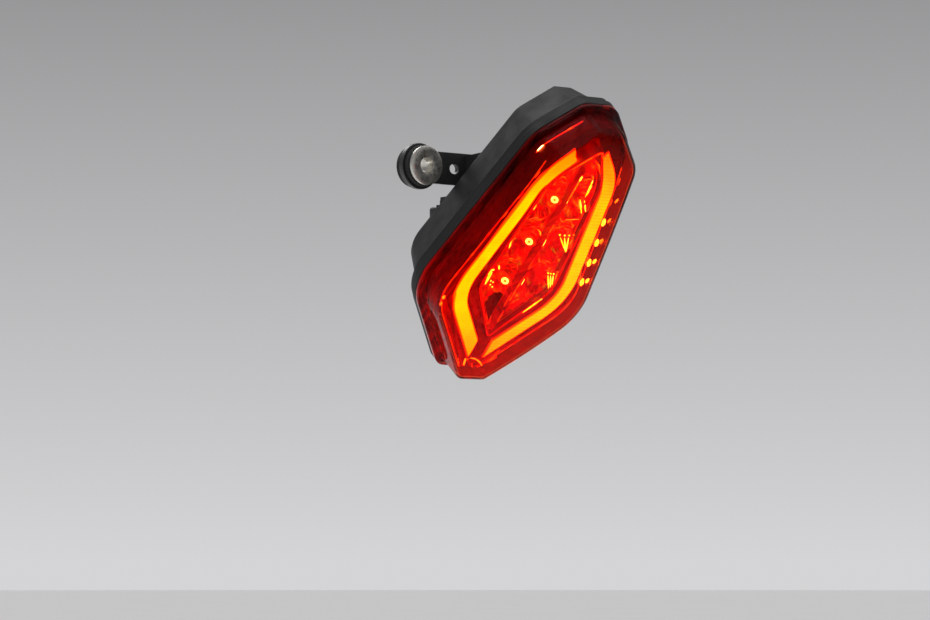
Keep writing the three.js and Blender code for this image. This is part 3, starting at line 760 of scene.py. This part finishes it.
def pipe_lens(name, side, x, y):
    """The slanted, domed lens of a light pipe: a white-hot ring round a darker middle, in a red collar."""
    place = at(LAMP, side * x, y, -3.3) @ Matrix.Rotation(side * math.pi / 4, 4, "Y")
    profile = [(0, 0.34), (0.35, 0.36), (0.66, 0.46), (0.95, 0.52), (1.35, 0.46), (1.62, 0.3), (1.76, 0.12),
               (1.95, 0.12), (2.2, 0), (2.25, -0.5), (1.8, -0.9), (0, -0.9)]
    slots = [1, 1, 0, 0, 0, 2, 2, 2, 2, 2, 2]
    return piece(lathe(name, profile, place, [HOT, WARM, EMBER], 44, slots), "clear_optic", angle=60)


# ---- painted glints: glowing prisms and bright edges
# (upper end, lower end, radius, hot) of the glowing prism ribs, painted glints, on the outer wall of each
# right-hand cup; hot picks the brighter glint
RIBS = {
    1: [((15.4, -15.2, -2.4), (17.9, -21.4, 0), 0.34, True),
        ((16.4, -14.9, -1.8), (18.3, -20.6, 0.2), 0.38, True),
        ((17.6, -14.6, -1.4), (18.5, -19.4, 0.2), 0.32, True),
        ((18.3, -12.8, -0.6), (18.7, -16.6, 0.1), 0.3, False)],
    2: [((12.6, 4, -5.3), (15.8, -0.8, -0.6), 0.32, True), ((13.9, 5, -3.9), (15.9, -1, -0.4), 0.38, True),
        ((15, 6.2, -2.6), (16, -1, -0.3), 0.36, True), ((15.8, 7.8, -1.2), (16.2, 1.2, -0.2), 0.28, False)],
    3: [((10.4, 25.8, -6), (13, 19.6, -2.2), 0.3, False), ((11.2, 25.6, -5), (13.5, 19.7, -1.6), 0.42, True),
        ((12.6, 26, -3.6), (14.6, 21.2, -1), 0.38, True)],
}


def upwards(points, test):
    """The points that pass a test, from the lowest up."""
    return sorted(filter(test, points), key=lambda p: p.y)


def wire(points, radius, mat, taper=True, sides=6):
    """A thin bead along a line of points in lamp axes, thinner at its ends. joined() makes it a piece."""
    points = [Vector(p) for p in points]
    count = len(points)
    turns = [2 * math.pi * k / sides for k in range(sides)]
    rows = []
    for i, p in enumerate(points):
        ahead = (points[min(i + 1, count - 1)] - points[max(i - 1, 0)]).normalized()
        across = ahead.cross(Vector((0.2, 0.1, 1))).normalized()
        up = across.cross(ahead)
        r = radius * (1 if not taper else 0.25 + 0.75 * math.sin(math.pi * (i + 0.5) / count))
        rows.append([p + (across * math.cos(t) + up * math.sin(t)) * r for t in turns])
    return loft("wire", rows, LAMP, [mat])


def joined(name, objs, slot):
    """One piece from several wires."""
    bm = bmesh.new()
    mats = []
    for o in objs:
        m = o.data.materials[0]
        if m not in mats:
            mats.append(m)
        before = len(bm.faces)
        bm.from_mesh(o.data)
        bm.faces.ensure_lookup_table()
        for f in bm.faces[before:]:
            f.material_index = mats.index(m)
        bpy.data.objects.remove(o)
    return piece(new_object(name, bm, Matrix.Scale(1 / MM, 4), mats), slot)


def crest_of(cup, start, end, count=22, share=0.955, z=-2.15):
    """Points along part of a cup's edge, angles in degrees from its outer side."""
    cx, cy, rx, ry = cup
    angles = [math.radians(start + (end - start) * k / (count - 1)) for k in range(count)]
    return [(cx + rx * share * math.cos(a), cy + ry * share * math.sin(a), z) for a in angles]


def on_bowl(cup, side, angle, depth, grow=0.97):
    """A point just inside a cup's wall, at an angle from its outer side and a height."""
    cx, cy, rx, ry = cup
    flat = math.sqrt(max(0, 1 - ((depth - CUP_Z) / CUP_DEPTH) ** 2)) * grow
    a = math.radians(angle)
    return side * (cx + rx * flat * math.cos(a)), cy + ry * flat * math.sin(a), depth


def settled(points, lift=0.15):
    """Points over the dish, slid down a slanted line until they lie on the wall of the cup below."""
    down = Vector((0.634, -0.483, -0.604))
    out = []
    for p in map(Vector, points):
        for _, _, (cx, cy, rx, ry) in COLUMN:
            middle = (math.copysign(cx, p.x), cy, CUP_Z)
            q = p.copy()
            while sum(((a - m) / r) ** 2 for a, m, r in zip(q, middle, (rx, ry, CUP_DEPTH))) < 1:
                q += down * 0.1
            if q != p:
                p = q - down * lift
                break
        out.append(p)
    return out


def cup_glints():
    """Painted glints: glowing prism ribs down the outer wall of each cup, a row of glowing studs over them,
    and glowing lines on the cups' crests and walls.
    """
    for number, (_, _, cup) in enumerate(COLUMN, 1):
        for side, hand in SIDES:
            ribs = []
            for head, foot, radius, hot in RIBS[number]:
                a, b = (Vector((side * p[0], p[1], p[2])) for p in (head, foot))
                line = [a.lerp(b, 0.12 + t / 8) for t in range(8)]
                mat = SPARK if hot else ORANGE
                ribs.append(wire(line, radius, mat))
                if number < 3:
                    ribs.append(wire([a + Vector((0, 0.25 * t, 0)) for t in range(3)], 0.46, mat))
            for a, b, mat in ((62, 118, ORANGE), (235, 285, ORANGE), (128, 150, RUBY)):
                if number == 1 and a == 235:
                    continue  # the pocket takes the dish's top away there
                ribs.append(wire([(side * x, y, z) for x, y, z in crest_of(cup, a, b)], 0.13, mat))
            for angle, z0, z1 in ((100, -2.4, -6.5), (75, -2.4, -5.8), (140, -2.6, -6)):
                line = [on_bowl(cup, side, angle + 2 * t, z0 + (z1 - z0) * t / 7) for t in range(8)]
                ribs.append(wire(line, 0.14, RUBY))
            joined(f"cup_glint_ribs_{number}_{hand}", ribs, "red_reflector")


def rim_lights():
    """Painted highlights: glowing lines that stand in for light caught on the crest of the rim, on the walls
    of the dish and along the blade.
    """
    crest = [Vector(p) for p in rim_ring(-0.45, 0.5)]
    lines = []
    for low, high, side, radius, mat in (
        (-35.5, -26.5, 1, 0.34, SPARK), (-16.5, -11.5, -1, 0.34, SPARK), (44, 58, -1, 0.2, ORANGE),
        (27, 34, -1, 0.16, RUBY), (8, 19, -1, 0.14, RUBY), (12, 24, 1, 0.14, RUBY),
        (52, 58.5, 1, 0.3, ORANGE),
    ):
        part = upwards(crest, lambda p: low <= p.y <= high and p.x * side > 0)
        lines.append(wire(part, radius, mat))
    streaks = (
        ([(10.9 + 0.05 * t - 0.021 * t * t, 28.5 + t, -2.1) for t in range(10)], 0.5, SPARK),
        ([(-14.2 + 0.3 * t, -12 - 0.55 * t, -2) for t in range(5)], 0.4, SPARK),
        ([(-5.2 + 0.9 * t, 9.1 - 0.17 * t * t, -2) for t in range(6)], 0.3, AMBER),
    )
    lines += [wire(settled(line), radius, mat) for line, radius, mat in streaks]
    lines += [wire([(7.6, 15.4, -2.1), (11.3, 15.6, -2.1), (14.6, 16, -2.1)], 0.2, AMBER),
              wire([(6.6, 40.6, -1.9), (8.2, 39.8, -1.8), (9.2, 38.4, -1.8)], 0.34, ORANGE)]
    for x, y, radius in ((-13.8, -20.9, 0.34), (-12.1, -21.6, 0.28), (-12.9, -23, 0.34), (-11.1, -24.2, 0.3)):
        lines.append(wire(settled([(x, y + t, -2.1) for t in (-0.4, 0, 0.4)]), radius, SPARK))
    joined("rim_highlights", lines, "red_trim")
    ridge = (
        (0, 0.52, (27, 30, 33, 36, 39, 41.5), 0.28, ORANGE),
        (0, 0.56, (38.4, 39.2, 40.2, 41), 0.42, SPARK),
        (0, 0.52, (-29, -26, -23, -20, -17), 0.2, ORANGE),
        (-0.9, 0.1, (-33, -31, -29, -27, -25), 0.16, RUBY),
        (0, 0.52, (-11, -9, -7, -5), 0.16, RUBY),
        (0, 0.52, (8, 11, 14), 0.18, ORANGE),
        (0, 0.52, (-41, -38, -35), 0.2, RUBY),
    )
    lines = [wire([(x, y, z) for y in ys], radius, mat) for x, z, ys, radius, mat in ridge]
    joined("spine_highlights", lines, "red_trim")


def on_side(points, y, side, reach=1.3):
    """Where an outline is at a height on one side: x, and its slope there."""
    same = [p for p in points if p.x * side > 0]
    found = [p for p in same if abs(p.y - y) <= reach]
    if len(found) < 2:
        found = sorted(same, key=lambda p: abs(p.y - y))[:2]
    slope = (found[-1].x - found[0].x) / ((found[-1].y - found[0].y) or 1)
    return sum(p.x for p in found) / len(found), slope


def margin_lights():
    """Painted glints: small glowing beads, standing in for light caught on prisms, down both margins of the
    bezel, in the lens's walls and foot, and along its upper left edge.
    """
    edge, wall = outline(LENS, 2.9), outline(LENS, 1.78)
    beads = []
    for k, y in enumerate((39, 27.5, 16.4, 5, -6.4, -17.4)):
        for side in (-1, 1):
            x, slope = on_side(edge, y, side)
            line = [(x + slope * t, y + t, -0.7) for t in (-1.8, -0.9, 0, 0.9, 1.8)]
            beads.append(wire(line, 0.95, SPARK) if side > 0 and k > 1 else wire(line, 0.36, RUBY))
            if side > 0 and k > 0:
                high = y + 2.6
                x, slope = on_side(wall, high, side)
                line = [(x - 0.1 + slope * t, high + t, 1.2 + 0.3 * t) for t in (-1.4, -0.6, 0.3, 1.2)]
                beads.append(wire(line, 0.7 if k > 2 else 0.4, SPARK if k > 3 else AMBER))
    for points, radius, mat in (
        ([(-8.2, -64.6), (-7.3, -66.1), (-6.4, -67.6)], 0.34, ORANGE),
        ([(-4.4, -64.2), (-3.9, -66), (-3.2, -68)], 0.5, AMBER),
        ([(-3.6, -64.9), (-1.6, -63.8), (0.6, -64), (2.6, -64.8), (5, -66.2), (7, -68)], 0.42, AMBER),
        ([(11.6, -58.8), (11.2, -61), (10.4, -63.4), (8.8, -66)], 0.32, RUBY),
        ([(7.6, -66.4), (10, -65), (12.5, -62.6)], 0.28, RUBY),
        ([(-10.8, -62.8), (-9.9, -64.1), (-9, -65.4)], 0.3, RUBY),
        ([(0.6, -67), (1.4, -68.2), (2.2, -69)], 0.3, RUBY),
    ):
        beads.append(wire([(x, y, -0.85) for x, y in points], radius, mat))
    for y, z, radius in ((-28.6, 1.6, 0.5), (-32.4, 1.4, 0.36)):
        x, slope = on_side(wall, y, -1)
        beads.append(wire([(x + slope * t, y + t, z) for t in (-0.9, -0.3, 0.3, 0.9)], radius, AMBER))
    for side in (-1, 1):
        line = upwards(outline(LENS, 3.25), lambda p: p.x * side > 3 and p.y < 46)
        beads.append(wire([(p.x, p.y, -1.15 - sag(p.y)) for p in line], 0.2, RUBY, taper=False, sides=4))
    # Painted highlight along the lens's upper left edge: a thin red line with a white-hot stretch and an
    # orange one.
    top = upwards(outline(LENS, 1.52), lambda p: 44 < p.y < 67 and p.x < -7.2)
    line = [(p.x, p.y, -7.6) for p in top]
    beads += [wire(line, 0.16, RUBY, taper=False), wire(line[1:8], 0.34, HOT),
              wire(line[-8:-4], 0.26, ORANGE)]
    joined("margin_glints", beads, "red_trim")


# ---- rear housing
def at_mount(x, z):
    """Axes for a turned piece that points forward from the mount."""
    return at(MOUNT, x, 0, z) @ ALONG_Y


def middle_cap(inset, z):
    return drawn_in(ring(LENS, inset, z), 0.02, lambda x, y: z)


def pad(name, x, y0, y1, z, width, height, taper):
    """A block that tapers as it grows forward out of the tub, in the mount's axes."""
    bm = bmesh.new()
    corners = [(-1, -1), (1, -1), (1, 1), (-1, 1)]
    back = [bm.verts.new((x + a * (width / 2 + taper), y0, z + b * (height / 2 + taper))) for a, b in corners]
    front = [bm.verts.new((x + a * width / 2, y1, z + b * height / 2)) for a, b in corners]
    solid(bm, back, front)
    return new_object(name, bm, MOUNT, [BLACK])


def housing():
    """The black tub, with pads for the bracket and the socket, a peg, ribs and their holes."""
    walls = (
        (12, -37), (7.6, -37), (6.6, -36.7), (6, -35.9), (0.75, -20.4), (0.3, -19.7), (-0.4, -19.3),
        (-2.2, -18.7), (-2.6, -18.3), (-2.6, -15.5), (-2.8, -15.2), (-3.4, -15.2), (-3.6, -15), (-3.6, -12.5),
        (-3.4, -12.3), (-1.2, -12.3), (-1, -17), (1.7, -17), (1.7, -12.3), (3.2, -12.3), (3.2, -20),
        (8.2, -34.6),
    )
    rows = [middle_cap(7.2, -37)] + [ring(LENS, inset, z) for inset, z in walls] + [middle_cap(8.2, -34.6)]
    tub = loft("housing_tub", rows, LAMP, [BLACK])
    parts = [pad("pad", 0, 9, 25.7, BRACKET_Z, 40, 12, 0.8),
             pad("socket_pad", 0, 16, 49.5, SOCKET_Z, 30, 22, 0.8)]
    peg = [(0, 30), (6.6, 30), (6.2, 46), (6, 62.2), (5.8, 62.5), (4.6, 63.6), (4, 65), (4, 74.2),
           (3.6, 75.2), (2.6, 76), (0, 76)]
    parts.append(lathe("peg", peg, at_mount(0, PEG_Z), [BLACK], 40))
    pairs = (13, 9, 24.6, 28, 2, 6), (17, 20, 44, 8, 6, 2.2), (17, 20, 44, 18, 6, 2.2)
    ribs = [(s * x, *rest) for x, *rest in pairs for s in (-1, 1)]
    ribs += [(0, 34, 60, PEG_Z, 14.6, 1.8), (0, 34, 60, PEG_Z, 1.8, 14.6)]
    parts += [pad("rib", *rib, 0.6) for rib in ribs]
    for p in parts:
        boolean(p, [box("behind", (200, 200, 60), (0, 0, -35.8 - 30), LAMP, [BLACK])], "INTERSECT")
    boolean(tub, parts, "UNION")
    screw_hole = [(0, 18), (2.5, 18), (2.5, 40), (0, 40)]
    vent_hole = [(0, -38.5), (1.5, -38.5), (1.5, -33), (0, -33)]
    holes = [lathe("hole", screw_hole, at_mount(s * SCREW_X, BRACKET_Z), [BLACK], 24) for s in (-1, 1)]
    holes.append(box("hole", (24.2, 20, 16.2), (0, 53.7, SOCKET_Z), MOUNT, [BLACK]))
    holes.append(lathe("hole", vent_hole, at(LAMP, 0, VENT_Y), [BLACK], 24))
    boolean(tub, holes)
    bevel(tub, 0.35, 2, 40)
    return piece(tub, "housing_plastic", "rear_housing", angle=32, flats=True)


# ---- mounting
def bracket():
    """The steel bar with an ear at each end, a raised pad in the middle, beads and six holes."""
    def bore(x, radius):
        wide = radius + 0.8
        profile = [(0, 25.5), (wide, 25.5), (radius, 26.3), (radius, 28.1), (wide, 28.9), (0, 28.9)]
        return lathe("bore", profile, at_mount(x, BRACKET_Z), [COATED], 48)
    half_bar, ear_radius, steps = 7, 10, 27
    waist = math.pi - math.asin(half_bar / ear_radius)
    turns = [waist * (k / steps - 1) for k in range(2 * steps + 1)]
    ear = [(EAR_X + ear_radius * math.cos(a), ear_radius * math.sin(a)) for a in turns]
    bar = prism("slab", ear + [(-x, -z) for x, z in ear], 26, 28.4, at_mount(0, BRACKET_Z), [COATED])
    bevel(bar, 0.3, 3, 40)
    raised = bevel(box("slab", (14, 2, 11), (0, 28, BRACKET_Z), MOUNT, [COATED]), 0.35, 3)
    beads = [bevel(box("bead", (11, 1.2, 1.6), (s * 32, 28.2, BRACKET_Z + t), MOUNT, [COATED]), 0.4, 3)
             for s in (-1, 1) for t in (-4.4, 4.4)]
    boolean(bar, [raised, *beads], "UNION")
    bores = (EAR_X, 6.4), (SCREW_X, 2.8), (26, 2.2)
    boolean(bar, [bore(s * x, radius) for x, radius in bores for s in (-1, 1)])
    return piece(bar, "black_steel", "mount_bracket", angle=35, flats=True)


def screws():
    """Two button-head screws with threads and hexagon sockets."""
    for s, name in SIDES:
        profile = [(0, 19), (1.6, 19.2), (2.1, 19.9)]
        for y in (20.2 + 0.8 * k for k in range(10)):
            profile += [(2.2, y), (1.85, y + 0.4)]
        profile += [(2.2, 28.3), (2.2, 28.7), (4.3, 28.7), (4.5, 28.85), (4.5, 29.3), (4.3, 29.9),
                    (3.8, 30.5), (3, 30.9), (2.2, 31), (0, 31)]
        place = at_mount(s * SCREW_X, BRACKET_Z)
        screw = lathe("bracket_screw", profile, place, [ZINC], 48)
        hexagon = lathe("hex", [(0, 29.3), (1.7, 29.3), (1.75, 32), (0, 32)], place, [ZINC], 6)
        boolean(screw, [hexagon])
        piece(screw, "zinc_steel", f"bracket_screw_{name}", angle=30)


def rounded(profile, r):
    """A closed lathe profile with its corners rounded."""
    out = []
    count = len(profile)
    for i in range(count):
        a, b, c = (Vector(profile[(i + k - 1) % count]) for k in range(3))
        ab, cb = (a - b), (c - b)
        reach = min(r, ab.length * 0.4, cb.length * 0.4)
        p, q = b + ab.normalized() * reach, b + cb.normalized() * reach
        out += [tuple(p), tuple((p + q) * 0.25 + b * 0.5), tuple(q)]
    return out


def fittings():
    """Rubber grommets with steel collars in the ears, and the grommet on the peg."""
    grommet = [(5.1, 23.2), (8.9, 23.2), (9, 25.7), (6.1, 25.7), (6.1, 28.7), (9, 28.7), (8.9, 31.8),
               (5.1, 31.8)]
    collar = [(3.5, 21.4), (8.5, 21.4), (8.5, 22.9), (4.8, 22.9), (4.8, 32.4), (3.5, 32.4)]
    peg = [(4.3, 65), (8, 65), (8, 67.4), (6.2, 68.1), (6.2, 70.5), (8, 71.2), (8, 73.4), (4.3, 73.4)]
    for s, name in SIDES:
        ear = at_mount(s * EAR_X, BRACKET_Z)
        obj = lathe("grommet", rounded(grommet, 0.5), ear, [RUBBER], 64)
        piece(obj, "rubber", f"mount_grommet_{name}", angle=50)
        obj = lathe("collar", rounded(collar, 0.25), ear, [ZINC], 64)
        piece(obj, "zinc_steel", f"mount_collar_{name}", angle=40)
    obj = lathe("grommet", rounded(peg, 0.5), at_mount(0, PEG_Z), [RUBBER], 64)
    piece(obj, "rubber", "peg_grommet", angle=50)


# ---- connector and vent
PIN_X = (-5, 0, 5)


def socket():
    """The connector's shroud with its flange, key, rails and ribs, and three pins."""
    def block(name, w, h, y0, y1, z=SOCKET_Z, x=0):
        made = box(name, (w, y1 - y0, h), (0, (y0 + y1) / 2, z), MOUNT, [NYLON])
        made.data.transform(Matrix.Translation((x * MM, 0, 0)))
        return made
    width, height, base, mouth = 23.6, 15.6, 44, 62
    shell = bevel(block("socket_shell", width, height, base, mouth), 1.4, 4)
    extras = [bevel(block("flange", 28, 20, 49.8, 51.4), 0.5, 2),
              block("key", 6, 1.6, 54, mouth, SOCKET_Z + height / 2 + 0.6)]
    extras += [block("rail", 1.2, 1, 51.2, 60.5, SOCKET_Z - height / 2 - 0.3, x) for x in (-8.6, 8.6)]
    extras += [bevel(block("rib", width + 1, height + 1, y, y + 0.7), 0.3, 2) for y in (53.4, 55.2)]
    boolean(shell, extras, "UNION")
    cuts = [bevel(block("cavity", 20, 12, 48.5, 64), 0.8, 3)]
    cuts += [block("hole", 1.6, 1.6, 36, 56, x=x) for x in PIN_X]
    cuts.append(block("notch", 3.2, 3, 58.4, 64, SOCKET_Z + 7))
    boolean(shell, cuts)
    bevel(shell, 0.18, 2, 40)
    piece(shell, "housing_plastic", "connector_socket", angle=32, flats=True)
    for k, x in enumerate(PIN_X, 1):
        pin = bevel(box(f"terminal_{k}", (1, 25.5, 1), (x, 42.75, SOCKET_Z), MOUNT, [TIN]), 0.22, 2)
        piece(pin, "tin", f"connector_pin_{k}", angle=30)


def vent():
    """A dished cap with eight slots round its edge."""
    profile = [(0, -40.8), (2.2, -40.9), (2.42, -41.5), (4.6, -41.5), (5.5, -41.2), (6, -40.4), (6, -38.8),
               (5.7, -38.6), (4, -38.6), (4, -37.35), (0, -37.35)]
    centre = at(LAMP, 0, VENT_Y)
    cap = lathe("vent", profile, centre, [VENT], 64)
    turns = [Matrix.Rotation(math.pi / 4 * k, 4, "Z") for k in range(8)]
    boolean(cap, [box("slot", (3.2, 0.9, 1.2), (5.2, 0, -41.4), centre @ turn, [VENT]) for turn in turns])
    bevel(cap, 0.12, 2, 40)
    piece(cap, "vent_plastic", "vent_cap", angle=32)


# ---- floor, light, camera
def world_and_floor():
    """A pale studio: a sky that darkens upwards, and a wide matt floor."""
    world = bpy.data.worlds.new("studio")
    bpy.context.scene.world = world
    world.use_nodes = True
    nodes, links = world.node_tree.nodes, world.node_tree.links
    coords, split, ramp = (nodes.new("ShaderNode" + kind) for kind in ("TexCoord", "SeparateXYZ", "ValToRGB"))
    stops = ((0, (0.66, 0.66, 0.67, 1)), (0.16, (0.28, 0.28, 0.285, 1)))
    for element, (position, color) in zip(ramp.color_ramp.elements, stops):
        element.position, element.color = position, color
    links.new(coords.outputs["Generated"], split.inputs["Vector"])
    links.new(split.outputs["Z"], ramp.inputs["Fac"])
    links.new(ramp.outputs["Color"], nodes["Background"].inputs["Color"])
    nodes["Background"].inputs["Strength"].default_value = 1

    n = Nodes("floor", spec=0.2)
    n.shade((0.72, 0.72, 0.72), 0.015, 400)
    n.dull(0.85, 300, 0.05)
    bm = bmesh.new()
    bmesh.ops.create_circle(bm, cap_ends=True, radius=30000, segments=96)
    new_object("floor", bm, Matrix.Translation((0, 0, -0.42)), [n.material])


def area_light(name, size, energy, position):
    """A round soft light, aimed at the lamp."""
    data = bpy.data.lights.new(name, "AREA")
    data.shape, data.size, data.energy = "DISK", size, energy
    obj = linked(name, data)
    obj.location = position
    aim = Vector((0, -0.03, -0.04)) - Vector(position)
    obj.rotation_mode = "QUATERNION"
    obj.rotation_quaternion = aim.to_track_quat("-Z", "Y")


def camera():
    """At the rear left, a little below the lamp, with a long lens."""
    distance, sensor, focal = 1638.53 * MM, 36, 146.516
    # how far right of the picture's middle and above it the lamp's centre lies, as tangents
    aside, above = 0.020053, 0.016222
    heading, pitch = math.radians(40) - math.atan(aside), math.radians(3.7789)
    level = Vector((math.sin(heading), math.cos(heading), 0))
    forward = level * math.cos(pitch) + Vector((0, 0, math.sin(pitch)))
    right = Vector((level.y, -level.x, 0))
    up = right.cross(forward)
    ray = forward + right * aside + up * above
    target = LAMP @ Vector((1.3 * MM, 0, 0))
    data = bpy.data.cameras.new("camera")
    data.sensor_width, data.lens = sensor, focal
    data.clip_start, data.clip_end = 0.05, 200
    cam = linked("camera", data)
    turn = Matrix((right, up, -forward)).transposed().to_4x4()
    cam.matrix_world = Matrix.Translation(target - ray.normalized() * distance) @ turn
    bpy.context.scene.camera = cam


lens()
for sign, word in SIDES:
    guide(sign, word)
bezel()
reflector()
blade()
for number, (pipe_x, pipe_y, _) in enumerate(COLUMN, 1):
    for sign, word in SIDES:
        pipe_lens(f"pipe_lens_{number}_{word}", sign, pipe_x, pipe_y)
cup_glints()
rim_lights()
margin_lights()
housing()
bracket()
screws()
fittings()
socket()
vent()

world_and_floor()
sun = bpy.data.lights.new("sky", "SUN")
sun.energy, sun.angle = 1.6, math.radians(70)
linked("sky", sun)
area_light("key", 1.2, 16, (-1.4, -0.9, 1.5))
area_light("fill", 1.6, 6, (1.6, -1, 0.8))
area_light("back", 1, 8, (0.3, 1.6, 1.2))
camera()
bpy.context.scene.view_settings.view_transform = "Standard"
